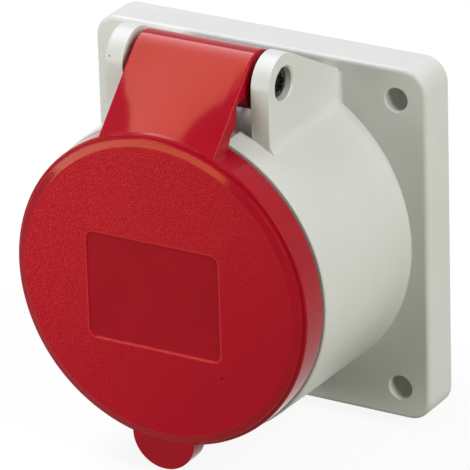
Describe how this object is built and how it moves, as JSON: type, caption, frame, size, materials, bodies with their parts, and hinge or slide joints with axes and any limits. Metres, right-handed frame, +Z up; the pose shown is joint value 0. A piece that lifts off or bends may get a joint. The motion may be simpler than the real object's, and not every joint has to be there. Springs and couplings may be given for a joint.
{
  "type": "pin and sleeve panel socket",
  "caption": "Square-flange panel socket for round industrial power plugs: pale grey body, slotted contact sleeves in an insulating insert, and a red sprung lid hinged above the collar.",
  "frame": {"origin": "centre of the socket's axis on the panel plane, where the flange's back seats", "axes": "+Y out of the flange's back, into the panel; the lid faces -Y; +Z up, with the lid's hinge at the top and the earth contact at the bottom; +X to the right as seen from the front"},
  "size_m": [0.085, 0.08, 0.095],
  "materials": {
    "grey_plastic": "light grey moulded thermoplastic, fine satin",
    "red_plastic": "crimson moulded thermoplastic, fine grained face with polished edges",
    "dark_plastic": "dark grey insulating moulding",
    "seal_rubber": "black soft rubber",
    "contact_brass": "bare turned brass",
    "steel": "zinc plated and stainless steel"
  },
  "bodies": {
    "socket": {"housing": "grey_plastic", "flange_seal": "seal_rubber", "hinge_screw": "steel", "lid_spring": "steel", "contact_cover": "dark_plastic", "contact_carrier": "dark_plastic", "contact_base": "dark_plastic", "terminal_carrier": "dark_plastic", "sleeve_earth": "contact_brass", "sleeve_line_1": "contact_brass", "sleeve_line_2": "contact_brass", "sleeve_line_3": "contact_brass", "sleeve_neutral": "contact_brass", "sleeve_ring_earth": "steel", "sleeve_ring_line_1": "steel", "sleeve_ring_line_2": "steel", "sleeve_ring_line_3": "steel", "sleeve_ring_neutral": "steel", "terminal_screw_earth": "steel", "terminal_screw_line_1": "steel", "terminal_screw_line_2": "steel", "terminal_screw_line_3": "steel", "terminal_screw_neutral": "steel", "carrier_screw_1": "steel", "carrier_screw_2": "steel", "carrier_screw_3": "steel", "centre_screw": "steel"},
    "lid": {"hinge_lid": "red_plastic", "lid_seal": "seal_rubber"}
  },
  "joints": [
    {"name": "lid_hinge", "type": "hinge", "parent": "socket", "child": "lid", "pos_m": [0, -0.0343, 0.045], "axis": [-1, 0, 0], "range_deg": [0, 110], "stiffness_Nm_per_rad": 0.06, "springref_deg": -68.75, "deforming": ["lid_spring"]}
  ]
}
